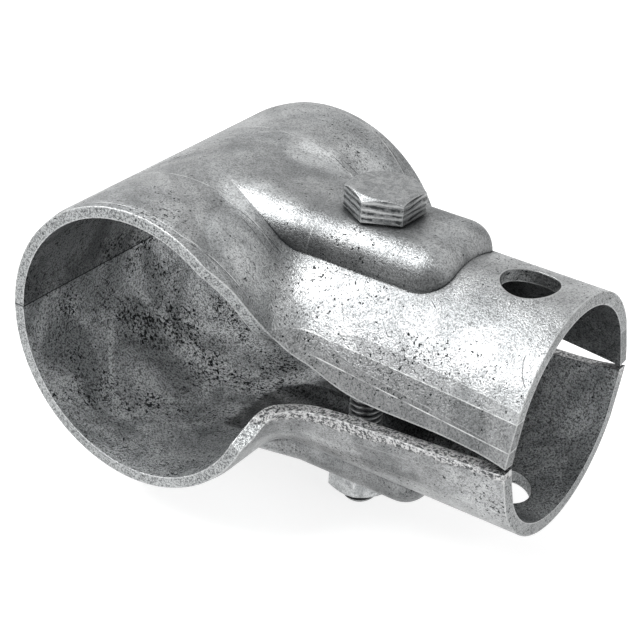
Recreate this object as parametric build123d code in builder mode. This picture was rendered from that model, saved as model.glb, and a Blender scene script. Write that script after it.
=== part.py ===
"""Tube clamp tee: two pressed half-shells that hold a branch tube square to a run tube.

The run tube lies along Y and the branch tube along X, and their axes cross at the origin.
The shells meet on Z = 0. One bolt stands along Z, between the run tube and the branch tube.
"""

from build123d import *
import os
from math import cos, radians, sin, tan

# Tubes that the clamp holds, 2 inch and 1 1/2 inch pipe
run_tube_diameter = 60.3
branch_tube_diameter = 48.3
tube_clearance = 0.05

# Pressed sheet: the width of its run half and the reach of its branch half
sheet = 3.0
run_width = 76.2
branch_reach = 86.4

# Valley between run and branch, as a radius on the outside of the sheet
neck_radius = 8.0

# Sides of the branch, as angles above the seam: the flank is straight below its angle, and a band
# above it is pressed flat between two creases, which fall from the neck to the branch's end
flank_angle = 15.0
band_neck_angles = (20.5, 33.0)
band_end_angles = (10.5, 25.0)
band_lift = 0.3
band_runout = 10.0

# Rollover along the ends of the run, on the outside
rollover_depth = 0.4
rollover_width = 2.5

# Boss that carries the bolt, on the outside of the sheet: it leaves the run's crown wide, narrows
# and falls as far as the bolt's seat, and goes on level from there
boss_drop = 1.8
boss_half_width = 14.0
boss_nose = 22.2
boss_shoulder_radius = 6.5
boss_root_length = 28.0
boss_root_spread = 3.3
boss_root_drop = 0.05

# Seam of the branch: nearly closed at its end, and open towards the bolt
seam_end_gap = 0.15
seam_slope = 6.1

# Rounded corners of the sheet, one wide and one tight, between the run's end and the seam:
# the angle at which the trim leaves the end, and the angle and depth at which it meets the neck
wide_leave_angle = 54.0
wide_meet_angle = 20.0
wide_meet_depth = 6.3
wide_neck_rise = 1.5
tight_leave_angle = 24.0
tight_meet_angle = 14.5
tight_meet_depth = 5.0
tight_neck_rise = 0.5

# Fixing hole near the end of the branch
fixing_hole_diameter = 12.7
fixing_hole_inset = 12.7

# Bolt and nut, 5/16 inch: the shank passes beside the run tube, and its end stands out of the nut
bolt_diameter = 7.94
bolt_gap = 3.6
bolt_tail = 3.4
bolt_end_chamfer = 0.8
bolt_hole_clearance = 0.8
thread_clearance = 0.05
head_across_flats = 15.24
head_height = 6.2
head_turn = -2.5
nut_across_flats = 13.34
nut_height = 6.86
nut_turn = -23.0
hex_face_share = 0.95
hex_chamfer_angle = 30.0
hex_edge_break = 0.4

# Worked out from the sizes above
run_bore_radius = run_tube_diameter / 2 + tube_clearance
branch_bore_radius = branch_tube_diameter / 2 + tube_clearance
half_width = run_width / 2
overrun = 2 * sheet
boss_height = run_bore_radius + sheet - boss_drop
bolt_place = run_bore_radius + bolt_gap + bolt_diameter / 2
bolt_length = 2 * boss_height + nut_height + bolt_tail
bolt_axis = Axis((bolt_place, 0, 0), (0, 0, 1))
boss_reach = bolt_place + boss_nose
band_start = run_bore_radius + sheet + neck_radius / 2
fixing_hole_place = branch_reach - fixing_hole_inset


def on_circle(radius, angle):
    """Point of a circle about a tube's axis, by its angle above the seam."""
    return (radius * cos(radians(angle)), radius * sin(radians(angle)))


def band_outline(radius, angles, lift, side):
    """Outline across the branch that bears on its side along the band's chord, or stands `lift` off it."""
    lower, upper = (Vector(on_circle(radius, angle)) for angle in angles)
    along = (upper - lower).normalized() * sheet
    outward = Vector(along.Y, -along.X)
    start = lower - along + outward * lift / sheet
    stop = upper + along + outward * lift / sheet
    corners = (start, stop, stop + outward * 2, start + outward * 2)
    return [(side * c.X, c.Y) for c in corners]


def half_form(skin, extra):
    """Upper half of the form, `skin` outside the tubes and `extra` longer at its open ends."""
    inset = sheet - skin
    run_radius = run_bore_radius + skin
    branch_radius = branch_bore_radius + skin

    flat = on_circle(branch_radius, flank_angle)
    foot = branch_radius / cos(radians(flank_angle))
    with BuildPart() as tee:
        with BuildSketch(Plane.XZ):
            Circle(run_radius)
            Rectangle(2 * run_radius, run_radius, align=(Align.CENTER, Align.MAX), mode=Mode.SUBTRACT)
        extrude(amount=half_width + extra, both=True)
        with BuildSketch(Plane.YZ):
            with BuildLine():
                crown = ThreePointArc((-flat[0], flat[1]), (0, branch_radius), flat)
                Polyline(crown @ 1, (foot, 0), (-foot, 0), crown @ 0)
            make_face()
        extrude(amount=branch_reach + extra)
        fillet(tee.edges(Select.NEW), radius=neck_radius + inset)
        for side in (-1, 1):
            for place, angles, lift in (
                (band_start, band_neck_angles, band_lift),
                (band_start + band_runout, band_neck_angles, 0),
                (branch_reach + overrun, band_end_angles, 0),
            ):
                with BuildSketch(Plane.YZ.offset(place)):
                    with BuildLine():
                        Polyline(band_outline(branch_radius, angles, lift, side), close=True)
                    make_face()
            loft(ruled=True, mode=Mode.SUBTRACT)

    half = boss_half_width - inset
    top = boss_height - inset
    with BuildPart() as nose:
        with BuildSketch(Plane.XY):
            Rectangle(boss_reach - inset, 2 * half, align=(Align.MIN, Align.CENTER))
        extrude(amount=top)
        corners = nose.edges().filter_by(Axis.Z).group_by(Axis.X)[-1]
        rim = nose.faces().sort_by(Axis.Z)[-1].edges().sort_by(Axis.X)[1:]
        fillet(corners + rim, radius=boss_shoulder_radius - inset)

    # The root's slopes run on inside the nose as far as the bolt
    root_half = half + boss_root_spread
    root_top = run_radius - boss_root_drop
    beyond = bolt_place / boss_root_length - 1
    end_half = half - boss_root_spread * beyond
    end_top = top - (root_top - top) * beyond
    with BuildPart() as root:
        with BuildSketch(Plane.XZ):
            Polygon((0, 0), (bolt_place, 0), (bolt_place, end_top), (0, root_top), align=None)
        extrude(amount=root_half, both=True)
        with BuildSketch(Plane.XY):
            Polygon(
                (0, -root_half), (bolt_place, -end_half), (bolt_place, end_half), (0, root_half), align=None
            )
        extrude(amount=run_radius, mode=Mode.INTERSECT)
        rim = root.faces().sort_by(Axis.Z)[-1].edges().filter_by(Axis.Y, reverse=True)
        fillet(rim, radius=boss_shoulder_radius - inset)

    with BuildPart() as form:
        add(tee.part)
        add(nose.part)
        add(root.part)
    return form.part


def seam_height(x):
    """Height of the branch's trimmed edge above the split plane."""
    return seam_end_gap + (branch_reach - x) * tan(radians(seam_slope))


def seam_ribbon(side, leave_angle, meet_angle, meet_depth, neck_rise):
    """Surface that trims one side of a shell, square to the sheet from the run's end to the branch's."""
    middle = sheet / 2
    stations = []
    for share in (-0.15, 0.2, 0.6, 1.0):
        angle = leave_angle + (meet_angle - leave_angle) * share
        x, z = on_circle(run_bore_radius + middle, angle)
        outward = Vector(cos(radians(angle)), 0, sin(radians(angle)))
        stations.append((Vector(x, half_width - meet_depth * share, z), outward))
    flank = (branch_bore_radius + sheet) / cos(radians(flank_angle))
    centre = Vector(run_bore_radius + sheet + neck_radius, flank + neck_radius)
    diagonal = Vector(1, 1).normalized()
    neck = centre - diagonal * (neck_radius + middle)
    stations.append((neck + Vector(0, 0, seam_height(neck.X) + neck_rise), diagonal))
    for x in (centre.X, (centre.X + branch_reach) / 2, branch_reach + sheet):
        stations.append((Vector(x, flank - middle, seam_height(x)), Vector(0, 1, 0)))
    edges = []
    for offset in (-overrun, sheet + middle):
        points = [point + outward * offset for point, outward in stations]
        edges.append(Edge.make_spline([Vector(p.X, side * p.Y, p.Z) for p in points]))
    return Face.make_surface_from_curves(*edges)


def hex_block(across_flats, height, turn):
    """Hexagon that stands on the boss's top, on the bolt's axis, with its upper corners turned off."""
    corner = across_flats / 2 / cos(radians(30))
    face = across_flats / 2 * hex_face_share
    drop = (corner - face) * tan(radians(hex_chamfer_angle))
    profile = [(0, 0), (0, height), (face, height), (corner, height - drop), (corner, 0)]
    with BuildPart() as block:
        with BuildSketch(Plane.XY.offset(boss_height)):
            with Locations((bolt_place, 0)):
                RegularPolygon(across_flats / 2, 6, major_radius=False, rotation=turn)
        extrude(amount=height)
        with BuildSketch(Plane.XZ):
            with BuildLine():
                Polyline([(bolt_place + r, boss_height + z) for r, z in profile], close=True)
            make_face()
        revolve(axis=bolt_axis, mode=Mode.INTERSECT)
    return block.part


# Pressed blank: the form's outside less its inside, with rolled-over ends and both holes
with BuildPart() as blank:
    add(half_form(sheet, 0))
    add(half_form(0, overrun), mode=Mode.SUBTRACT)
    outer_radius = run_bore_radius + sheet
    for end in (-half_width, half_width):
        inner_end = end * (1 - rollover_width / half_width)
        with BuildSketch(Plane.XY):
            with BuildLine():
                Polyline(
                    (outer_radius - rollover_depth, end),
                    (outer_radius, inner_end),
                    (outer_radius + rollover_depth, end),
                    close=True,
                )
            make_face()
        revolve(axis=Axis.Y, mode=Mode.SUBTRACT)
    with Locations((bolt_place, 0, boss_height)):
        Hole(bolt_diameter / 2 + bolt_hole_clearance, depth=boss_height)
    with Locations((fixing_hole_place, 0, boss_height)):
        Hole(fixing_hole_diameter / 2, depth=boss_height)

with BuildPart() as upper_shell:
    add(blank.part)
    for ribbon in (
        seam_ribbon(-1, wide_leave_angle, wide_meet_angle, wide_meet_depth, wide_neck_rise),
        seam_ribbon(1, tight_leave_angle, tight_meet_angle, tight_meet_depth, tight_neck_rise),
    ):
        split(bisect_by=ribbon, keep=Keep.ALL)
        add(upper_shell.solids().sort_by(SortBy.VOLUME)[-1], mode=Mode.REPLACE)
upper_shell.part.label = "upper_shell"

# The lower shell is the same pressing turned over
with BuildPart() as lower_shell:
    add(upper_shell.part.rotate(Axis.X, 180))
lower_shell.part.label = "lower_shell"

with BuildPart() as hex_bolt:
    add(hex_block(head_across_flats, head_height, head_turn))
    chamfer(hex_bolt.edges().group_by(Axis.Z)[0], length=hex_edge_break)
    with BuildSketch(Plane.XY.offset(boss_height)):
        with Locations((bolt_place, 0)):
            Circle(bolt_diameter / 2)
    extrude(amount=-bolt_length)
    chamfer(hex_bolt.edges().group_by(Axis.Z)[0], length=bolt_end_chamfer)
hex_bolt.part.label = "hex_bolt"

with BuildPart() as hex_nut:
    add(hex_block(nut_across_flats, nut_height, nut_turn).rotate(Axis.X, 180))
    with Locations((bolt_place, 0, -boss_height)):
        Hole(bolt_diameter / 2 + thread_clearance, depth=nut_height)
hex_nut.part.label = "hex_nut"

os.makedirs("parts", exist_ok=True)
export_step(upper_shell.part, "parts/upper_shell.step")
export_step(lower_shell.part, "parts/lower_shell.step")
export_step(hex_bolt.part, "parts/hex_bolt.step")
export_step(hex_nut.part, "parts/hex_nut.step")
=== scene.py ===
"""Tube clamp tee: galvanised finishes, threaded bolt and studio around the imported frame."""

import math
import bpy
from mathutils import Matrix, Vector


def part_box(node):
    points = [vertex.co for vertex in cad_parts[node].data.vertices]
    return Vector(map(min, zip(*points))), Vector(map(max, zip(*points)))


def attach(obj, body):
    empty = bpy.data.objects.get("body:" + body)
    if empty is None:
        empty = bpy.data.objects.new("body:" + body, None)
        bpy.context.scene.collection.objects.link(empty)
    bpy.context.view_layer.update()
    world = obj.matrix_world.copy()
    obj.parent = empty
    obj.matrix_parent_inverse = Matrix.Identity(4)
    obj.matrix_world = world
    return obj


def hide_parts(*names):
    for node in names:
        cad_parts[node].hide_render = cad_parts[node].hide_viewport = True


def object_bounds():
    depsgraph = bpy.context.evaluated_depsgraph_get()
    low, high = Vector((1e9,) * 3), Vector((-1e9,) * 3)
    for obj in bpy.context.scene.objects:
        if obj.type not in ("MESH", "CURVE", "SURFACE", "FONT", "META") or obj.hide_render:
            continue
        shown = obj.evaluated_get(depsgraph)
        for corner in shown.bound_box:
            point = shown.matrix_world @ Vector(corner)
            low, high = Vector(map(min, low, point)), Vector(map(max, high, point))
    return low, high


bl_info = {
    "name": "Tube clamp tee",
    "version": (1, 0, 0),
    "blender": (4, 5, 0),
    "location": "3D View > Sidebar > Clamp Tee",
    "description": "Galvanised finishes, a threaded bolt and a studio for a pressed tube clamp tee",
    "category": "Object",
}

import bpy
from mathutils import Matrix, Vector

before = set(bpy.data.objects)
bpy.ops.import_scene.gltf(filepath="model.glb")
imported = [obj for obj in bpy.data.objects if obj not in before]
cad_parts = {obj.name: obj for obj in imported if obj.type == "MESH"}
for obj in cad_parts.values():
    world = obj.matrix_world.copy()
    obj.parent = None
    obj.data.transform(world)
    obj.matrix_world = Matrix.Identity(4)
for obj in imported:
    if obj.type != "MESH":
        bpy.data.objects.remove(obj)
CAD_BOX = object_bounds()
MM = 0.001


def node_axis(node):
    """Centre line of a node that stands upright: its x and y, and its lowest and highest z."""
    low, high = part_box(node)
    return (low.x + high.x) / 2, (low.y + high.y) / 2, low.z, high.z


BOLT_X, BOLT_Y, BOLT_END, BOLT_TOP = node_axis("hex_bolt")
HEX_COLUMNS = 144
SHANK_COLUMNS = 48
ROWS_PER_TURN = 12
THREAD_DEPTH_SHARE = 0.61
THREAD_CLEARANCE = 0.05 * MM
END_CHAMFER = 0.8 * MM
SHARP_ANGLE = math.radians(28)

# Marks on the shells, in millimetres, and fixed colours
BRANCH_END = 86.0
LINE_FADE = 3.0
# Painted highlights: lines round the run by its rims and by the boss's shoulders, and along the creases of
# the branch's sides
HIGHLIGHT_LINES = (
    ("rim", 36.3, -0.25, -40.0, 26.0), ("rim", 17.0, 0.12, -30.0, 24.0),
    ("side", 10.3, -0.083, 37.0, 90.0), ("side", 13.59, -0.05, 33.0, 90.0),
)
SCORED_LINES = (
    ("rim", 18.3, -0.1, 6.0, 27.0), ("rim", 19.4, 0.06, 13.0, 24.0), ("rim", 37.0, -0.3, 12.0, 27.0),
)
TRIM_DARK = (0.03, 0.032, 0.034, 1)
TRIM_LIGHT = (0.6, 0.6, 0.6, 1)
# Colour of the painted highlights on the bolt's and nut's edges
EDGE_HIGHLIGHT = (0.62, 0.63, 0.63, 1)

# Lamps: name, way from the target, distance and size in metres, share of the key lamp's power
LAMPS = (
    ("key_lamp", (-0.45, -0.40, 0.79), 0.45, (0.38, 0.26), 1.0),
    ("fill_lamp", (0.75, -0.35, 0.45), 0.9, (0.4, 0.4), 0.5),
)


# ---------------------------------------------------------------- settings


class ClampZincSettings(bpy.types.PropertyGroup):
    """Colours and wear of the zinc coating, with the colours of its painted shade and highlights."""

    zinc: bpy.props.FloatVectorProperty(
        name="Zinc", description="Colour of the bare zinc coat", subtype="COLOR",
        size=3, min=0, max=1, default=(0.355, 0.362, 0.365),
    )
    dull_zinc: bpy.props.FloatVectorProperty(
        name="Dull zinc", description="Colour of the coat where it has gone dull", subtype="COLOR",
        size=3, min=0, max=1, default=(0.22, 0.227, 0.23),
    )
    # Colour of stains, pits and specks, also used for the painted shade in corners and creases
    stain_and_shade: bpy.props.FloatVectorProperty(
        name="Stain", description="Colour of stains, pits and specks", subtype="COLOR",
        size=3, min=0, max=1, default=(0.012, 0.014, 0.015),
    )
    # The inside coat is a darker copy of the outside coat: partly a duller coat, partly painted shade inside
    # the tubes
    inner_zinc: bpy.props.FloatVectorProperty(
        name="Inner zinc", description="Colour of the coat inside the tubes", subtype="COLOR",
        size=3, min=0, max=1, default=(0.34, 0.35, 0.355),
    )
    inner_dull: bpy.props.FloatVectorProperty(
        name="Inner dull zinc", description="Colour of the dull coat inside the tubes",
        subtype="COLOR", size=3, min=0, max=1, default=(0.14, 0.147, 0.15),
    )
    cut_zinc: bpy.props.FloatVectorProperty(
        name="Cut edge", description="Colour of the sheet's cut edges", subtype="COLOR",
        size=3, min=0, max=1, default=(0.3, 0.31, 0.31),
    )
    cut_dull: bpy.props.FloatVectorProperty(
        name="Dull cut edge", description="Colour of the cut edges where they are dull",
        subtype="COLOR", size=3, min=0, max=1, default=(0.13, 0.135, 0.14),
    )
    # Colour of the painted highlights on edges, creases and lines
    highlight_zinc: bpy.props.FloatVectorProperty(
        name="Rubbed zinc", description="Colour of the rubbed edges and drawing lines",
        subtype="COLOR", size=3, min=0, max=1, default=(0.66, 0.67, 0.67),
    )
    roughness: bpy.props.FloatProperty(
        name="Roughness", description="Roughness of the coat where it is brightest",
        subtype="FACTOR", min=0, max=1, default=0.36,
    )
    edge_reach: bpy.props.FloatProperty(
        name="Edge reach", description="How far the rounded, rubbed edges reach", unit="LENGTH",
        min=0, max=0.005, default=0.45 * MM,
    )


class ClampBoltSettings(bpy.types.PropertyGroup):
    """Sizes of the hex bolt and its nut."""

    across_flats: bpy.props.FloatProperty(
        name="Across flats", description="Width of the head across its flats", unit="LENGTH",
        default=15.24 * MM,
    )
    head_turn: bpy.props.FloatProperty(
        name="Head turn", description="Turn of the head about the bolt", unit="ROTATION",
        default=math.radians(-2.5),
    )
    face_share: bpy.props.FloatProperty(
        name="Face share", description="Diameter of the head's round top as a share of its flats",
        default=0.95,
    )
    chamfer_angle: bpy.props.FloatProperty(
        name="Chamfer angle", description="Slope of the turned corners", unit="ROTATION",
        default=math.radians(30),
    )
    head_height: bpy.props.FloatProperty(
        name="Head height", description="Height of the head", unit="LENGTH", default=6.2 * MM
    )
    shank_diameter: bpy.props.FloatProperty(
        name="Shank diameter", description="Diameter of the shank", unit="LENGTH",
        default=7.94 * MM,
    )
    nut_across_flats: bpy.props.FloatProperty(
        name="Nut across flats", description="Width of the nut across its flats", unit="LENGTH",
        default=13.34 * MM,
    )
    nut_turn: bpy.props.FloatProperty(
        name="Nut turn", description="Turn of the nut about the bolt", unit="ROTATION",
        default=math.radians(20),
    )
    pitch: bpy.props.FloatProperty(
        name="Pitch", description="Pitch of the thread", unit="LENGTH", default=1.411 * MM
    )
    thread_length: bpy.props.FloatProperty(
        name="Thread length", description="Length of the thread from the bolt's end",
        unit="LENGTH", default=31.75 * MM,
    )


class ClampStudioSettings(bpy.types.PropertyGroup):
    """Camera, lamps and floor."""

    azimuth: bpy.props.FloatProperty(
        name="Azimuth", description="Bearing of the camera", unit="ROTATION",
        default=math.radians(31.0),
    )
    elevation: bpy.props.FloatProperty(
        name="Elevation", description="Height angle of the camera", unit="ROTATION",
        default=math.radians(29.56),
    )
    roll: bpy.props.FloatProperty(
        name="Roll", description="Roll of the camera", unit="ROTATION", default=math.radians(4.52)
    )
    distance: bpy.props.FloatProperty(
        name="Distance", description="Camera to target", unit="LENGTH", default=393.7 * MM
    )
    target: bpy.props.FloatVectorProperty(
        name="Target", description="Point the camera looks at", subtype="TRANSLATION",
        size=3, default=(30 * MM, 0, 0),
    )
    focal_length: bpy.props.FloatProperty(
        name="Focal length", description="Focal length in millimetres", default=99.225
    )
    frame_shift: bpy.props.FloatVectorProperty(
        name="Frame shift", description="Shift of the frame, across and up",
        size=2, default=(-0.03625, 0.01266),
    )
    key_power: bpy.props.FloatProperty(
        name="Key power", description="Power of the key lamp in watts", default=3.6
    )
    surround_light: bpy.props.FloatProperty(
        name="Surround light", description="Strength of the light that the surround sheds",
        min=0, default=0.55,
    )
    floor_glow: bpy.props.FloatProperty(
        name="Floor glow", description="Strength that whitens the floor where it is seen",
        min=0, default=0.74,
    )
    floor_size: bpy.props.FloatProperty(
        name="Floor size", description="Width of the floor", unit="LENGTH", default=6.0
    )
    floor_drop: bpy.props.FloatProperty(
        name="Floor drop", description="Gap between the lowest point and the floor",
        unit="LENGTH", default=3.0 * MM,
    )


# ---------------------------------------------------------------- node helpers


def add_node(tree, kind, inputs=None, **settings):
    """Adds a shader node, sets its attributes, and fills its inputs with values or links."""
    node = tree.nodes.new(kind)
    for key, value in settings.items():
        setattr(node, key, value)
    fill_inputs(tree, node, inputs or {})
    return node


def fill_inputs(tree, node, inputs):
    """Sets each named input of a node to a value, or links a socket to it."""
    for key, value in inputs.items():
        if isinstance(value, bpy.types.NodeSocket):
            tree.links.new(value, node.inputs[key])
        else:
            node.inputs[key].default_value = value


def math_node(tree, operation, a, b=0.0, clamp=False):
    """Result of a Math node."""
    return add_node(tree, "ShaderNodeMath", {0: a, 1: b}, operation=operation, use_clamp=clamp).outputs[0]


def plus(tree, a, b, clamp=False):
    """Sum of two values."""
    return math_node(tree, "ADD", a, b, clamp)


def minus(tree, a, b):
    """Difference of two values."""
    return math_node(tree, "SUBTRACT", a, b)


def part_of(tree, value, share):
    """Value times a share."""
    return math_node(tree, "MULTIPLY", value, share)


def magnitude(tree, value):
    """Value without its sign."""
    return math_node(tree, "ABSOLUTE", value)


def largest(tree, *values):
    """Largest of several values."""
    result = values[0]
    for value in values[1:]:
        result = math_node(tree, "MAXIMUM", result, value)
    return result


def overlap(tree, *masks):
    """Product of several masks."""
    result = masks[0]
    for mask in masks[1:]:
        result = part_of(tree, result, mask)
    return result


def span(tree, value, low, high, to_low=0.0, to_high=1.0):
    """Value mapped smoothly from low..high to to_low..to_high and clamped."""
    return add_node(
        tree, "ShaderNodeMapRange",
        {"Value": value, "From Min": low, "From Max": high, "To Min": to_low, "To Max": to_high},
        interpolation_type="SMOOTHSTEP",
    ).outputs["Result"]


def vector_node(tree, operation, inputs):
    """Outputs of a Vector Math node."""
    return add_node(tree, "ShaderNodeVectorMath", inputs, operation=operation).outputs


def split(tree, vector):
    """The x, y and z outputs of a vector."""
    return add_node(tree, "ShaderNodeSeparateXYZ", {0: vector}).outputs


def noise(tree, place, scale, detail, roughness=0.5, distortion=0.0, output="Fac"):
    """Output of a noise texture."""
    return add_node(
        tree, "ShaderNodeTexNoise",
        {"Vector": place, "Scale": scale, "Detail": detail, "Roughness": roughness,
         "Distortion": distortion},
    ).outputs[output]


def mix_colour(tree, factor, a, b):
    """Colour mixed from a to b."""
    return add_node(tree, "ShaderNodeMix", {0: factor, 6: a, 7: b}, data_type="RGBA").outputs[2]


def dimmed(tree, colour, factor):
    """Colour times a factor."""
    return vector_node(tree, "SCALE", {0: colour, "Scale": factor})[0]


def opaque(colour, factor=1.0):
    """RGBA of an RGB property times a factor."""
    return (*(channel * factor for channel in colour), 1.0)


def surface_normal(tree):
    """Normal of the surface in the piece's own axes."""
    return add_node(tree, "ShaderNodeTexCoord").outputs["Normal"]


def new_group(name, inputs, outputs):
    """Empty shader node group with the given sockets, and its input and output nodes."""
    group = bpy.data.node_groups.new(name, "ShaderNodeTree")
    for label, default in inputs:
        kind = "NodeSocketVector" if default is None else "NodeSocketFloat"
        socket = group.interface.new_socket(label, in_out="INPUT", socket_type=kind)
        if default is not None:
            socket.default_value = default
    for label, kind in outputs:
        group.interface.new_socket(label, in_out="OUTPUT", socket_type=kind)
    return group, group.nodes.new("NodeGroupInput").outputs, group.nodes.new("NodeGroupOutput").inputs


def use_group(tree, group, inputs):
    """Places a node group in a tree and returns its outputs."""
    node = tree.nodes.new("ShaderNodeGroup")
    node.node_tree = group
    fill_inputs(tree, node, inputs)
    return node.outputs


# ---------------------------------------------------------------- shared effects


def zinc_mottle_group():
    """Clouds and sharp grain of a hot-dip coat, each from 0 to 1, and its height."""
    group, inlet, outlet = new_group(
        "zinc_mottle",
        [("Place", None), ("Cloud", 0.08), ("Grain", 1.6)],
        [("Tone", "NodeSocketFloat"), ("Grain", "NodeSocketFloat"), ("Height", "NodeSocketFloat")],
    )
    place = inlet["Place"]
    cloud = noise(group, place, inlet["Cloud"], 6.0, 0.66, 0.9)
    grain = noise(group, place, inlet["Grain"], 2.0, 0.7)
    crinkle = noise(group, place, part_of(group, inlet["Grain"], 0.42), 3.0, 0.62, 0.7)
    ridge = magnitude(group, minus(group, crinkle, 0.5))
    mixed = minus(group, grain, part_of(group, ridge, 0.9))
    group.links.new(span(group, cloud, 0.36, 0.64), outlet["Tone"])
    group.links.new(span(group, mixed, 0.22, 0.60), outlet["Grain"])
    group.links.new(plus(group, part_of(group, mixed, 1.1), cloud), outlet["Height"])
    return group


def specks_group():
    """Small ragged pits at random places, thicker in patches."""
    group, inlet, outlet = new_group(
        "specks",
        [("Place", None), ("Density", 0.6), ("Size", 0.2), ("Share", 0.35), ("Patch", 0.06)],
        [("Mask", "NodeSocketFloat")],
    )
    warp = noise(group, inlet["Place"], 2.3, 2.0, output="Color")
    bent = vector_node(group, "MULTIPLY_ADD", {0: warp, 1: (0.9, 0.9, 0.9), 2: inlet["Place"]})[0]
    cells = add_node(group, "ShaderNodeTexVoronoi", {"Vector": bent, "Scale": inlet["Density"]}).outputs
    lot = add_node(group, "ShaderNodeSeparateColor", {"Color": cells["Color"]}).outputs
    patch = noise(group, inlet["Place"], inlet["Patch"], 3.0)
    share = part_of(group, inlet["Share"], span(group, patch, 0.40, 0.62, 0.15, 1.8))
    chosen = math_node(group, "LESS_THAN", lot[0], share)
    radius = part_of(group, inlet["Size"], plus(group, part_of(group, lot[1], 0.8), 0.35))
    depth = math_node(group, "DIVIDE", cells["Distance"], radius)
    group.links.new(part_of(group, span(group, depth, 1.0, 0.6), chosen), outlet["Mask"])
    return group


def blots_group():
    """Black pitting in ragged clusters."""
    group, inlet, outlet = new_group(
        "blots",
        [("Place", None), ("Scale", 0.6), ("Cluster", 0.06), ("Level", 0.62)],
        [("Mask", "NodeSocketFloat")],
    )
    fine = noise(group, inlet["Place"], inlet["Scale"], 4.0, 0.62, 0.5)
    where = noise(group, inlet["Place"], inlet["Cluster"], 3.0, 0.6)
    total = plus(group, fine, part_of(group, where, 0.55))
    above = minus(group, total, plus(group, inlet["Level"], 0.28))
    group.links.new(span(group, above, 0.0, 0.035), outlet["Mask"])
    return group


def hairlines_group():
    """Thin wandering lines, broken up in patches, as left by drawing and handling."""
    group, inlet, outlet = new_group(
        "hairlines",
        [("Place", None), ("Spread", 0.12), ("Width", 0.012), ("Keep", 0.55)],
        [("Mask", "NodeSocketFloat")],
    )
    field = noise(group, inlet["Place"], inlet["Spread"], 1.0, distortion=0.3)
    gap = magnitude(group, minus(group, field, 0.5))
    line = span(group, math_node(group, "DIVIDE", gap, inlet["Width"]), 1.0, 0.0)
    patch = noise(group, inlet["Place"], 0.21, 2.0)
    kept = span(group, minus(group, patch, inlet["Keep"]), 0.0, 0.08)
    group.links.new(part_of(group, line, kept), outlet["Mask"])
    return group


def edge_crease_group():
    """Masks of the sharp edges and of the faint creases, and the normal that rounds them."""
    group, inlet, outlet = new_group(
        "edge_crease",
        [("Reach", 0.0004)],
        [("Mask", "NodeSocketFloat"), ("Crease", "NodeSocketFloat"), ("Normal", "NodeSocketVector")],
    )
    bevel = add_node(group, "ShaderNodeBevel", {"Radius": inlet["Reach"]}, samples=6).outputs[0]
    flat = add_node(group, "ShaderNodeNewGeometry").outputs["Normal"]
    agree = vector_node(group, "DOT_PRODUCT", {0: bevel, 1: flat})["Value"]
    # These masks carry painted highlights and painted crease shade, and dark lines along the inside edges
    group.links.new(span(group, agree, 0.985, 0.86), outlet["Mask"])
    group.links.new(span(group, agree, 0.9996, 0.9975), outlet["Crease"])
    group.links.new(bevel, outlet["Normal"])
    return group


def shaded_corners_group():
    """Mask of corners and gaps that the light hardly reaches, from 0 in the open to 1 deep inside, for
    painting shade into them.
    """
    group, inlet, outlet = new_group("shaded_corners", [("Reach", 0.003)], [("Mask", "NodeSocketFloat")])
    open_share = add_node(
        group, "ShaderNodeAmbientOcclusion", {"Distance": inlet["Reach"]}, samples=8
    ).outputs["AO"]
    group.links.new(span(group, open_share, 0.93, 0.45), outlet["Mask"])
    return group


def shell_side_group():
    """Tells the inside of the tubes and the cut edges of the sheet from the outside."""
    group, inlet, outlet = new_group(
        "shell_side",
        [("Place", None)],
        [("Inside", "NodeSocketFloat"), ("Cut", "NodeSocketFloat"), ("Branch", "NodeSocketFloat")],
    )
    x, y, z = split(group, inlet["Place"])
    branch = span(group, minus(group, x, magnitude(group, y)), -2.0, 14.0)
    along_run = add_node(group, "ShaderNodeCombineXYZ", {0: x, 2: z}).outputs[0]
    along_branch = add_node(group, "ShaderNodeCombineXYZ", {1: y, 2: z}).outputs[0]
    outward = add_node(
        group, "ShaderNodeMix", {0: branch, 4: along_run, 5: along_branch}, data_type="VECTOR"
    ).outputs[1]
    outward = vector_node(group, "NORMALIZE", {0: outward})[0]
    agree = vector_node(group, "DOT_PRODUCT", {0: outward, 1: surface_normal(group)})["Value"]
    group.links.new(span(group, agree, -0.3, -0.5), outlet["Inside"])
    group.links.new(span(group, magnitude(group, agree), 0.3, 0.2), outlet["Cut"])
    group.links.new(branch, outlet["Branch"])
    return group


# ---------------------------------------------------------------- marks on the shells

# Places on the shells are in millimetres: x along the branch from the run's axis, y along the
# run from its middle, z up from the split plane.


def trim_band(tree, place):
    """Mask of the ragged strip along the lower shell's trimmed side, below its cut edge."""
    x, _, z = split(tree, place)
    along = span(tree, x, 30.0, BRANCH_END, 1.0, 0.0)
    edge = minus(tree, -0.4, part_of(tree, along, 5.8))
    below = minus(tree, edge, z)
    ragged = minus(tree, noise(tree, place, 0.7, 3.0), 0.5)
    depth = plus(tree, below, part_of(tree, ragged, 3.0))
    return overlap(tree, span(tree, depth, 2.6, 1.7), span(tree, below, -1.2, -0.8),
                   span(tree, x, 22.0, 30.0))


def line_mask(tree, place, lines):
    """Mask of thin lines. A rim line goes round the run, a side line along the branch's flank.
    Each has its distance from the middle, its slope past the run, and its ends along x."""
    x, y, z = split(tree, place)
    across, height = magnitude(tree, y), magnitude(tree, z)
    past = largest(tree, minus(tree, x, 12.0), 0.0)
    on_run = span(tree, minus(tree, x, across), 9.0, 5.0)
    on_side = part_of(tree, span(tree, across, 19.0, 21.0), span(tree, z, 0.0, 1.0))
    masks = []
    for kind, at, slope, low, high in lines:
        level = plus(tree, part_of(tree, past, slope), at)
        value, region = (across, on_run) if kind == "rim" else (height, on_side)
        off = magnitude(tree, minus(tree, value, level))
        masks.append(overlap(
            tree, span(tree, off, 0.17, 0.05), region,
            span(tree, x, low, low + LINE_FADE), span(tree, x, high, high - LINE_FADE),
        ))
    broken = noise(tree, place, 0.28, 2.0)
    return part_of(tree, largest(tree, *masks), span(tree, broken, 0.36, 0.56, 0.25, 1.0))


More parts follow.
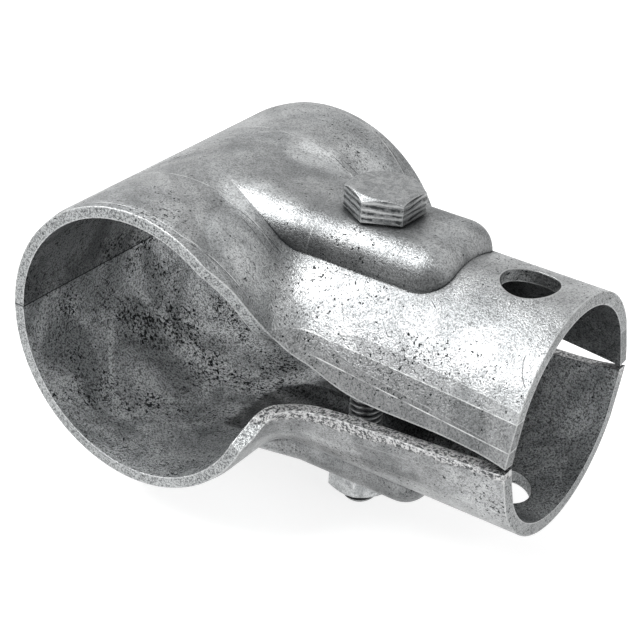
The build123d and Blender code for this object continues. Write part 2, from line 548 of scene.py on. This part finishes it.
def painted_side_shade(tree, place, outside):
    """Factor of painted shade on the boss's upright walls, on the flat strips along the branch's sides and on
    a band along the lower shell's side.
    """
    x, y, z = split(tree, place)
    across, height = magnitude(tree, y), magnitude(tree, z)
    facing = split(tree, surface_normal(tree))
    boss = overlap(
        tree,
        span(tree, magnitude(tree, facing[2]), 0.85, 0.4),
        span(tree, magnitude(tree, facing[1]), 0.25, 0.7, 0.35, 1.0),
        span(tree, height, 21.5, 22.5), span(tree, across, 16.0, 15.0),
        span(tree, x, 8.0, 14.0), span(tree, z, -5.0, 5.0, 0.3, 1.0),
    )
    strip_top = minus(tree, 12.4, part_of(tree, minus(tree, x, 35.8), 0.05))
    strip = overlap(
        tree,
        span(tree, minus(tree, height, strip_top), 0.3, -0.3), span(tree, across, 17.0, 19.0),
        span(tree, x, 26.0, 36.0), span(tree, z, -1.0, 1.0, 0.35, 1.0),
    )
    band_middle = minus(tree, 17.8, part_of(tree, minus(tree, x, 33.6), 0.16))
    off = magnitude(tree, minus(tree, height, band_middle))
    banded = overlap(
        tree, span(tree, off, 3.2, 0.6), span(tree, z, -8.0, -10.0),
        span(tree, x, 26.0, 34.0), span(tree, x, 74.0, 60.0),
    )
    grain_and_shade_dimming = largest(tree, part_of(tree, boss, 0.62), part_of(tree, strip, 0.38), part_of(tree, banded, 0.4))
    return minus(tree, 1.0, part_of(tree, grain_and_shade_dimming, outside))


def mirrored_patch(tree, place, centre, reach):
    """Soft patch about a point, the same on both sides of both shells."""
    folded = vector_node(tree, "ABSOLUTE", {0: place})[0]
    off = vector_node(tree, "SUBTRACT", {0: folded, 1: centre})[0]
    share = vector_node(tree, "DIVIDE", {0: off, 1: reach})[0]
    away = vector_node(tree, "LENGTH", {0: share})["Value"]
    stray = minus(tree, noise(tree, place, 0.12, 4.0, 0.6), 0.5)
    return span(tree, plus(tree, away, stray), 1.1, 0.5)


def painted_highlights(tree, place, outside):
    """Factor of painted highlight that brightens the run's shoulder beside the boss and its neck to the
    branch.
    """
    shoulder = mirrored_patch(tree, place, (14.0, 13.0, 31.0), (13.0, 7.5, 8.0))
    neck = mirrored_patch(tree, place, (21.0, 26.0, 25.0), (14.0, 9.0, 12.0))
    highlighted = largest(tree, part_of(tree, shoulder, 0.7), part_of(tree, neck, 0.45))
    branch_side = span(tree, split(tree, place)[0], 0.0, 8.0)
    return plus(tree, overlap(tree, highlighted, outside, branch_side), 1.0)


def deep_inside_shade(tree, place):
    """Factor of painted shade that darkens the branch's inside near the neck, from the run's bore outwards.
    """
    x, _, z = split(tree, place)
    stray = minus(tree, noise(tree, place, 0.16, 4.0), 0.5)
    deep = plus(tree, x, part_of(tree, stray, 16.0))
    squares = plus(tree, math_node(tree, "POWER", x, 2.0), math_node(tree, "POWER", z, 2.0))
    beyond = plus(tree, math_node(tree, "POWER", squares, 0.5), part_of(tree, stray, 1.2))
    shaded_deep = overlap(tree, span(tree, beyond, 30.25, 30.6), span(tree, deep, 82.0, 52.0),
                     span(tree, x, 0.0, 5.0))
    return span(tree, shaded_deep, 0.0, 1.0, 1.0, 0.3)


# ---------------------------------------------------------------- finishes


def finish_tree(name):
    """New material with its tree, principled shader and place in millimetres."""
    material = bpy.data.materials.new(name)
    material.use_nodes = True
    tree = material.node_tree
    shader = tree.nodes["Principled BSDF"]
    shader.inputs["Metallic"].default_value = 1.0
    place = dimmed(tree, add_node(tree, "ShaderNodeTexCoord").outputs["Object"], 1 / MM)
    return material, tree, shader, place


def set_bump(tree, shader, height, normal, distance, strength):
    """Raises the shader's surface by a height, over a given normal."""
    bump = add_node(
        tree, "ShaderNodeBump",
        {"Height": height, "Normal": normal, "Distance": distance, "Strength": strength},
    )
    tree.links.new(bump.outputs[0], shader.inputs["Normal"])


def sheet_colour(tree, place, settings, mottle, side, outside):
    """Colour of the sheet before its stains: its outside, its inside and its cut edges, with painted shade
    and painted highlights.
    """
    _, y, z = split(tree, place)
    tone, grain = mottle["Tone"], mottle["Grain"]
    streaks = noise(tree, place, 0.02, 8.0, 0.75, 2.0)
    colour = mix_colour(tree, tone, opaque(settings.dull_zinc), opaque(settings.zinc))
    colour = dimmed(tree, colour, span(tree, streaks, 0.4, 0.62, 0.78, 1.12))
    inner = mix_colour(tree, tone, opaque(settings.inner_dull), opaque(settings.inner_zinc))
    # Painted shade: the upper shell's inside is darker, and the branch's inside darkens towards the neck
    inner = dimmed(tree, inner, span(tree, z, -0.2, 0.2, 1.0, 0.6))
    inner = dimmed(tree, inner, deep_inside_shade(tree, place))
    colour = mix_colour(tree, side["Inside"], colour, inner)
    cut = mix_colour(tree, grain, opaque(settings.cut_dull), opaque(settings.cut_zinc))
    # Painted shade: level cut faces on the far side are darker
    level = span(tree, magnitude(tree, split(tree, surface_normal(tree))[2]), 0.9, 0.97)
    far_level = part_of(tree, level, span(tree, y, 0.0, 5.0))
    cut = dimmed(tree, cut, span(tree, far_level, 0.0, 1.0, 1.0, 0.2))
    colour = mix_colour(tree, part_of(tree, side["Cut"], 0.8), colour, cut)
    colour = dimmed(tree, colour, span(tree, grain, 0.0, 1.0, 0.64, 1.27))
    # Painted shade on the boss walls, the branch's side strips and the lower shell's side band
    colour = dimmed(tree, colour, painted_side_shade(tree, place, outside))
    # Painted highlight on the run's shoulder and neck
    colour = dimmed(tree, colour, painted_highlights(tree, place, outside))
    grain_and_shade_dimming = dimmed(tree, colour, span(tree, grain, 0.0, 1.0, 0.62, 1.35))
    return mix_colour(tree, side["Inside"], colour, grain_and_shade_dimming)


def sheet_dirt_and_shade(tree, place, effects, side, outside, edge, corner_shade):
    """Mask of the sheet's pits, stains, scored lines, dark seam and dark lines along its inside edges, with
    painted shade in its corners and along its concave creases.
    """
    stipple = use_group(tree, effects["specks"],
                        {"Place": place, "Density": 2.1, "Size": 0.27, "Share": 0.3, "Patch": 0.05})
    pits = use_group(tree, effects["specks"],
                     {"Place": place, "Density": 1.05, "Size": 0.27, "Share": 0.5, "Patch": 0.045})
    lines = use_group(tree, effects["lines"], {"Place": place, "Spread": 0.07, "Width": 0.0035, "Keep": 0.52})
    inner_blots = use_group(tree, effects["blots"],
                            {"Place": place, "Scale": 1.3, "Cluster": 0.075, "Level": 0.585})
    outer_blots = use_group(tree, effects["blots"],
                            {"Place": place, "Scale": 1.1, "Cluster": 0.05, "Level": 0.66})
    from_seam = magnitude(tree, split(tree, place)[2])
    scored = part_of(tree, line_mask(tree, place, SCORED_LINES), outside)
    return largest(
        tree, part_of(tree, stipple["Mask"], 0.55), part_of(tree, pits["Mask"], 0.95),
        overlap(tree, inner_blots["Mask"], side["Inside"], span(tree, side["Branch"], 0.2, 0.8, 0.95, 0.25)),
        overlap(tree, outer_blots["Mask"], outside, 0.9),
        # hairlines, and painted shade in corners and gaps
        part_of(tree, lines["Mask"], 0.45), part_of(tree, corner_shade, 0.85),
        part_of(tree, span(tree, from_seam, 0.2, 0.1), 0.9),
        overlap(tree, edge["Mask"], side["Inside"], 0.9),
        # painted shade along concave creases
        overlap(tree, edge["Crease"], span(tree, corner_shade, 0.03, 0.15), 0.95),
        part_of(tree, scored, 0.75),
    )


def sheet_highlights(tree, place, outside, edge, corner_shade):
    """Mask of the outside's painted highlights along its edges, its creases and its lines, off the closed
    back seam.
    """
    x, _, z = split(tree, place)
    closed = part_of(tree, span(tree, magnitude(tree, z), 0.9, 0.5), span(tree, x, -18.0, -24.0))
    # Painted highlight lines along rims, shoulders and creases
    pressed = part_of(tree, line_mask(tree, place, HIGHLIGHT_LINES), outside)
    light = largest(tree, part_of(tree, edge["Mask"], 0.45), part_of(tree, edge["Crease"], 0.4),
                    part_of(tree, pressed, 0.7))
    return overlap(tree, light, span(tree, corner_shade, 0.2, 0.05), outside, minus(tree, 1.0, closed))


def sheet_finish(settings, effects):
    """Hot-dip galvanised pressed sheet: mottled outside, stained inside, rough cut edges, with painted shade
    and painted highlights.
    """
    material, tree, shader, place = finish_tree("zinc_sheet")
    mottle = use_group(tree, effects["mottle"], {"Place": place, "Cloud": 0.055, "Grain": 2.5})
    side = use_group(tree, effects["side"], {"Place": place})
    edge = use_group(tree, effects["edge"], {"Reach": settings.edge_reach})
    corner_shade = use_group(tree, effects["shaded_corners"], {"Reach": 3.2 * MM})["Mask"]
    outside = minus(tree, 1.0, side["Inside"])

    colour = sheet_colour(tree, place, settings, mottle, side, outside)
    trim = part_of(tree, trim_band(tree, place), outside)
    rough_trim = noise(tree, place, 1.5, 3.0, 0.7)
    ragged = mix_colour(tree, span(tree, rough_trim, 0.42, 0.56), TRIM_DARK, TRIM_LIGHT)
    colour = mix_colour(tree, part_of(tree, trim, 0.85), colour, ragged)
    dark = sheet_dirt_and_shade(tree, place, effects, side, outside, edge, corner_shade)
    # Stains, pits and painted shade take the same dark colour
    colour = mix_colour(tree, dark, colour, opaque(settings.stain_and_shade))
    # Painted highlights on the outside's edges, creases and lines
    highlight_mask = sheet_highlights(tree, place, outside, edge, corner_shade)
    colour = mix_colour(tree, highlight_mask, colour, opaque(settings.highlight_zinc))
    tree.links.new(colour, shader.inputs["Base Color"])

    rough = span(tree, mottle["Tone"], 0.0, 1.0, settings.roughness + 0.1, settings.roughness)
    rough = plus(tree, rough, part_of(tree, dark, 0.35), clamp=True)
    rough = plus(tree, rough, part_of(tree, side["Inside"], 0.12), clamp=True)
    tree.links.new(rough, shader.inputs["Roughness"])

    height = minus(tree, mottle["Height"], dark)
    height = plus(tree, height, overlap(tree, trim, rough_trim, 4.0))
    height = plus(tree, height, overlap(tree, side["Cut"], rough_trim, 2.0))
    set_bump(tree, shader, height, edge["Normal"], 0.16 * MM, 0.85)
    return material


def forming_lines(tree, place, forming):
    """Masks of the dark lines and of the shine that forming left along the flats, and the flats."""
    wander = noise(tree, vector_node(tree, "MULTIPLY", {0: place, 1: (0.12, 0.12, 0.5)})[0], 1.0, 3.0, 0.6)
    patchy = noise(tree, vector_node(tree, "MULTIPLY", {0: place, 1: (0.5, 0.5, 0.12)})[0], 1.0, 2.0)
    z = split(tree, place)[2]
    banded = math_node(tree, "SINE", plus(tree, part_of(tree, z, 4.5), part_of(tree, wander, 9.0)))
    upright = magnitude(tree, split(tree, surface_normal(tree))[2])
    flat = part_of(tree, span(tree, upright, 0.4, 0.2), span(tree, z, 0.0, 20.0))
    line = overlap(tree, span(tree, banded, 0.45, 0.8), flat, forming,
                   span(tree, patchy, 0.38, 0.5, 0.25, 1.0))
    shine = overlap(tree, span(tree, banded, -0.4, -0.9), flat, forming * 0.5)
    return line, shine, flat


def fastener_finish(name, settings, effects, tint, forming):
    """Galvanised bolt or nut, with the strength of its tint and of the lines along its flats; it has painted
    shade in its corners and on its flats, and painted highlights on its edges.
    """
    material, tree, shader, place = finish_tree(name)
    mottle = use_group(tree, effects["mottle"], {"Place": place, "Cloud": 0.35, "Grain": 3.0})
    edge = use_group(tree, effects["edge"], {"Reach": settings.edge_reach * 0.8})
    specks = use_group(tree, effects["specks"],
                       {"Place": place, "Density": 1.6, "Size": 0.25, "Share": 0.25, "Patch": 0.1})
    corner_shade = use_group(tree, effects["shaded_corners"], {"Reach": 1.2 * MM})["Mask"]
    line, shine, flat = forming_lines(tree, place, forming)
    # Painted shade in corners and where the pieces meet
    dark = largest(tree, part_of(tree, specks["Mask"], 0.7), line, part_of(tree, corner_shade, 0.9))
    light = largest(tree, part_of(tree, edge["Mask"], 0.7), shine)

    colour = mix_colour(tree, mottle["Tone"], opaque(settings.dull_zinc, tint), opaque(settings.zinc, tint))
    colour = dimmed(tree, colour, span(tree, mottle["Grain"], 0.0, 1.0, 0.7, 1.15))
    # Painted shade: the upright flats are darker than the tops
    colour = dimmed(tree, colour, span(tree, flat, 0.0, 1.0, 1.0, 0.78))
    colour = mix_colour(tree, dark, colour, opaque(settings.stain_and_shade))
    # Painted highlight along the edges, mixed with the shine of the forming lines
    colour = mix_colour(tree, light, colour, EDGE_HIGHLIGHT)
    tree.links.new(colour, shader.inputs["Base Color"])

    rough = span(tree, mottle["Tone"], 0.0, 1.0, settings.roughness + 0.1, settings.roughness)
    tree.links.new(rough, shader.inputs["Roughness"])

    height = minus(tree, mottle["Height"], part_of(tree, dark, 1.5))
    set_bump(tree, shader, height, edge["Normal"], 0.1 * MM, 0.6)
    return material


# ---------------------------------------------------------------- bolt


def grid_faces(rows, columns):
    """Faces of a grid of rows that closes on itself across its columns."""
    return [
        (r * columns + c, r * columns + (c + 1) % columns,
         (r + 1) * columns + (c + 1) % columns, (r + 1) * columns + c)
        for r in range(rows - 1)
        for c in range(columns)
    ]


def hexagon_rings(across_flats, sizes, turn, profile):
    """Vertices of rings about the bolt. profile gives each ring's radius and height from the
    reach of the hexagon, the radius of its round face and the drop of its turned corner."""
    half_flats = across_flats / 2
    face_radius = half_flats * sizes.face_share
    columns = []
    for i in range(HEX_COLUMNS):
        angle = 2 * math.pi * i / HEX_COLUMNS
        from_flat = (angle + math.pi / 6) % (math.pi / 3) - math.pi / 6
        reach = half_flats / math.cos(from_flat)
        drop = (reach - face_radius) * math.tan(sizes.chamfer_angle)
        turned = angle + turn
        columns.append([
            (BOLT_X + radius * math.cos(turned), BOLT_Y + radius * math.sin(turned), z)
            for radius, z in profile(reach, face_radius, drop)
        ])
    return [column[row] for row in range(len(columns[0])) for column in columns]


def bolt_head(sizes, base, top):
    """Vertices and faces of the head: flats, turned corners, round top and broken lower edge."""
    inner_radius = sizes.across_flats / 2 * 0.6
    edge_break, washer = 0.3 * MM, 0.35 * MM

    def profile(reach, face_radius, drop):
        return (
            (inner_radius, base), (face_radius, base), (face_radius, base + washer),
            (reach - edge_break, base + washer), (reach, base + washer + edge_break),
            (reach, top - drop), (face_radius, top), (face_radius * 0.93, top),
        )

    points = hexagon_rings(sizes.across_flats, sizes, sizes.head_turn, profile)
    faces = grid_faces(len(points) // HEX_COLUMNS, HEX_COLUMNS)
    faces.append(tuple(range(len(points) - HEX_COLUMNS, len(points))))
    faces.append(tuple(reversed(range(HEX_COLUMNS))))
    return points, faces


def bolt_shank(sizes, top):
    """Vertices and faces of the shank: plain below the head, threaded to its chamfered end."""
    radius = sizes.shank_diameter / 2
    depth = THREAD_DEPTH_SHARE * sizes.pitch
    run_out = 1.5 * sizes.pitch
    thread_top = BOLT_END + sizes.thread_length
    steps = int((thread_top - BOLT_END) / sizes.pitch * ROWS_PER_TURN)
    heights = [BOLT_END + (thread_top - BOLT_END) * i / steps for i in range(steps + 1)]
    heights += [thread_top + 0.8 * MM, top]
    points = []
    for z in heights:
        for c in range(SHANK_COLUMNS):
            angle = 2 * math.pi * c / SHANK_COLUMNS
            wave = abs((z / sizes.pitch - c / SHANK_COLUMNS) % 1.0 - 0.5) * 2
            ridge = min(max((wave - 0.12) / 0.76, 0.0), 1.0)
            ridge = ridge * ridge * (3 - 2 * ridge) * 0.45 + ridge * 0.55
            fade = min(max((thread_top - z) / run_out, 0.0), 1.0)
            r = radius - depth * (1 - ridge) * fade
            r = min(r, radius - END_CHAMFER + (z - BOLT_END))
            points.append((BOLT_X + r * math.cos(angle), BOLT_Y + r * math.sin(angle), z))
    faces = grid_faces(len(heights), SHANK_COLUMNS)
    faces.append(tuple(reversed(range(SHANK_COLUMNS))))
    faces.append(tuple(range(len(points) - SHANK_COLUMNS, len(points))))
    return points, faces


def hex_nut(sizes, seat, end):
    """Vertices and faces of the nut: turned corners at both ends and a countersunk bore."""
    bore = sizes.shank_diameter / 2 + THREAD_CLEARANCE
    sink_width, sink_depth = 0.55 * MM, 0.5 * MM

    def profile(reach, face_radius, drop):
        return (
            (bore, seat), (face_radius, seat), (reach, seat - drop * 0.6), (reach, end + drop),
            (face_radius, end), (bore + sink_width, end), (bore, end + sink_depth),
        )

    points = hexagon_rings(sizes.nut_across_flats, sizes, sizes.nut_turn, profile)
    rows = len(points) // HEX_COLUMNS
    faces = [tuple(reversed(face)) for face in grid_faces(rows, HEX_COLUMNS)]
    last = (rows - 1) * HEX_COLUMNS
    for c in range(HEX_COLUMNS):
        after = (c + 1) % HEX_COLUMNS
        faces.append((c, after, last + after, last + c))
    return points, faces


def make_piece(name, points, faces):
    """Mesh object from vertices and faces, smooth but for its sharp edges."""
    mesh = bpy.data.meshes.new(name)
    mesh.from_pydata(points, [], faces)
    mesh.update()
    piece = bpy.data.objects.new(name, mesh)
    bpy.context.scene.collection.objects.link(piece)
    mesh.shade_smooth()
    mesh.set_sharp_from_angle(angle=SHARP_ANGLE)
    return piece


# ---------------------------------------------------------------- operators


class CLAMP_OT_finishes(bpy.types.Operator):
    """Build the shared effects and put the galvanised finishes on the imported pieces"""

    bl_idname = "clamp.finishes"
    bl_label = "Galvanised Finishes"

    def execute(self, context):
        zinc = context.scene.clamp_zinc
        effects = {
            "mottle": zinc_mottle_group(), "specks": specks_group(), "blots": blots_group(),
            "lines": hairlines_group(), "edge": edge_crease_group(), "shaded_corners": shaded_corners_group(),
            "side": shell_side_group(),
        }
        sheet = sheet_finish(zinc, effects)
        nut = fastener_finish("zinc_nut", zinc, effects, tint=1.5, forming=0.15)
        bolt = fastener_finish("zinc_bolt", zinc, effects, tint=0.95, forming=0.85)
        for node, material in (
            ("upper_shell", sheet), ("lower_shell", sheet), ("hex_nut", nut), ("hex_bolt", bolt)
        ):
            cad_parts[node].material_slots[0].material = material
        return {"FINISHED"}


class CLAMP_OT_bolt(bpy.types.Operator):
    """Build the hex bolt with its thread"""

    bl_idname = "clamp.bolt"
    bl_label = "Threaded Bolt"

    def execute(self, context):
        sizes = context.scene.clamp_bolt
        seat = BOLT_TOP - sizes.head_height
        head_points, head_faces = bolt_head(sizes, seat, BOLT_TOP)
        shank_points, shank_faces = bolt_shank(sizes, seat)
        shift = len(head_points)
        faces = head_faces + [tuple(i + shift for i in face) for face in shank_faces]
        bolt = make_piece("threaded_bolt", head_points + shank_points, faces)
        bolt.data.materials.append(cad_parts["hex_bolt"].material_slots[0].material)
        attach(bolt, "root")
        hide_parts("hex_bolt")
        return {"FINISHED"}


class CLAMP_OT_nut(bpy.types.Operator):
    """Build the hex nut with turned corners and a countersunk bore"""

    bl_idname = "clamp.nut"
    bl_label = "Hex Nut"

    def execute(self, context):
        end, seat = (corner.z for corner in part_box("hex_nut"))
        nut = make_piece("turned_nut", *hex_nut(context.scene.clamp_bolt, seat, end))
        nut.data.materials.append(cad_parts["hex_nut"].material_slots[0].material)
        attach(nut, "root")
        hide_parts("hex_nut")
        return {"FINISHED"}


class CLAMP_OT_stage(bpy.types.Operator):
    """Set the floor, the lamps, the white surround and the camera"""

    bl_idname = "clamp.stage"
    bl_label = "Studio"

    def execute(self, context):
        studio = context.scene.clamp_studio
        scene = context.scene
        scene.view_settings.view_transform = "Standard"
        self.make_floor(studio)
        self.make_surround(scene, studio)
        self.make_lamps(studio)
        self.make_camera(scene, studio)
        return {"FINISHED"}

    def make_floor(self, studio):
        level = CAD_BOX[0].z - studio.floor_drop
        half = studio.floor_size / 2
        corners = [(-half, -half, level), (half, -half, level), (half, half, level), (-half, half, level)]
        mesh = bpy.data.meshes.new("studio_floor")
        mesh.from_pydata(corners, [], [(0, 1, 2, 3)])
        floor = bpy.data.objects.new("studio_floor", mesh)
        bpy.context.scene.collection.objects.link(floor)
        material = bpy.data.materials.new("pale_floor")
        material.use_nodes = True
        tree = material.node_tree
        tree.nodes.remove(tree.nodes["Principled BSDF"])
        matt = add_node(tree, "ShaderNodeBsdfDiffuse", {"Color": (0.5, 0.5, 0.5, 1)}).outputs[0]
        glow = add_node(
            tree, "ShaderNodeEmission", {"Color": (1, 1, 1, 1), "Strength": studio.floor_glow}
        ).outputs[0]
        seen = self.seen_rays(tree)
        lifted = add_node(tree, "ShaderNodeAddShader", {0: matt, 1: glow}).outputs[0]
        plain = add_node(tree, "ShaderNodeMixShader", {0: seen, 1: matt, 2: lifted}).outputs[0]
        tree.links.new(plain, tree.nodes["Material Output"].inputs["Surface"])
        mesh.materials.append(material)

    def seen_rays(self, tree):
        """1 on rays that show the surround: from the camera, off metal or through glass."""
        path = add_node(tree, "ShaderNodeLightPath").outputs
        return largest(tree, path["Is Camera Ray"], path["Is Glossy Ray"], path["Is Transmission Ray"])

    def make_surround(self, scene, studio):
        world = bpy.data.worlds.new("white_surround")
        scene.world = world
        world.use_nodes = True
        tree = world.node_tree
        seen = self.seen_rays(tree)
        strength = span(tree, seen, 0.0, 1.0, studio.surround_light, 1.0)
        background = tree.nodes["Background"]
        background.inputs["Color"].default_value = (1, 1, 1, 1)
        tree.links.new(strength, background.inputs["Strength"])

    def make_lamps(self, studio):
        target = Vector(studio.target)
        for name, direction, reach, size, share in LAMPS:
            lamp = bpy.data.lights.new(name, "AREA")
            lamp.shape = "RECTANGLE"
            lamp.size, lamp.size_y = size
            lamp.energy = studio.key_power * share
            holder = bpy.data.objects.new(name, lamp)
            way = Vector(direction).normalized()
            holder.location = target + way * reach
            holder.rotation_euler = way.to_track_quat("Z", "Y").to_euler()
            bpy.context.scene.collection.objects.link(holder)

    def make_camera(self, scene, studio):
        data = bpy.data.cameras.new("view_camera")
        camera = bpy.data.objects.new("view_camera", data)
        scene.collection.objects.link(camera)
        a, e, r = studio.azimuth, studio.elevation, studio.roll
        back = Vector((math.sin(a) * math.cos(e), -math.cos(a) * math.cos(e), math.sin(e)))
        level = Vector((math.cos(a), math.sin(a), 0.0))
        rise = back.cross(level)
        right = level * math.cos(r) + rise * math.sin(r)
        up = rise * math.cos(r) - level * math.sin(r)
        turn = Matrix((right, up, back)).transposed().to_4x4()
        camera.matrix_world = Matrix.Translation(Vector(studio.target) + back * studio.distance) @ turn
        data.sensor_width = 36.0
        data.lens = studio.focal_length
        data.shift_x, data.shift_y = studio.frame_shift
        data.clip_start, data.clip_end = 0.01, 20.0
        scene.camera = camera


class CLAMP_PT_panel(bpy.types.Panel):
    """Lists the clamp tee's operators and settings"""

    bl_idname = "CLAMP_PT_panel"
    bl_label = "Tube Clamp Tee"
    bl_space_type = "VIEW_3D"
    bl_region_type = "UI"
    bl_category = "Clamp Tee"

    def draw(self, context):
        scene = context.scene
        for settings, operators in (
            (scene.clamp_zinc, (CLAMP_OT_finishes,)),
            (scene.clamp_bolt, (CLAMP_OT_bolt, CLAMP_OT_nut)),
            (scene.clamp_studio, (CLAMP_OT_stage,)),
        ):
            box = self.layout.box()
            for operator in operators:
                box.operator(operator.bl_idname)
            for name in settings.bl_rna.properties.keys():
                if name not in ("rna_type", "name"):
                    box.prop(settings, name)


SETTINGS = (
    ("clamp_zinc", ClampZincSettings),
    ("clamp_bolt", ClampBoltSettings),
    ("clamp_studio", ClampStudioSettings),
)
CLASSES = (CLAMP_OT_finishes, CLAMP_OT_bolt, CLAMP_OT_nut, CLAMP_OT_stage, CLAMP_PT_panel)


def register():
    for name, settings in SETTINGS:
        bpy.utils.register_class(settings)
        setattr(bpy.types.Scene, name, bpy.props.PointerProperty(type=settings))
    for item in CLASSES:
        bpy.utils.register_class(item)


def unregister():
    for item in reversed(CLASSES):
        bpy.utils.unregister_class(item)
    for name, settings in reversed(SETTINGS):
        delattr(bpy.types.Scene, name)
        bpy.utils.unregister_class(settings)


def main():
    register()
    bpy.ops.clamp.finishes()
    bpy.ops.clamp.bolt()
    bpy.ops.clamp.nut()
    bpy.ops.clamp.stage()
    bpy.context.view_layer.update()


if __name__ == "__main__":
    main()
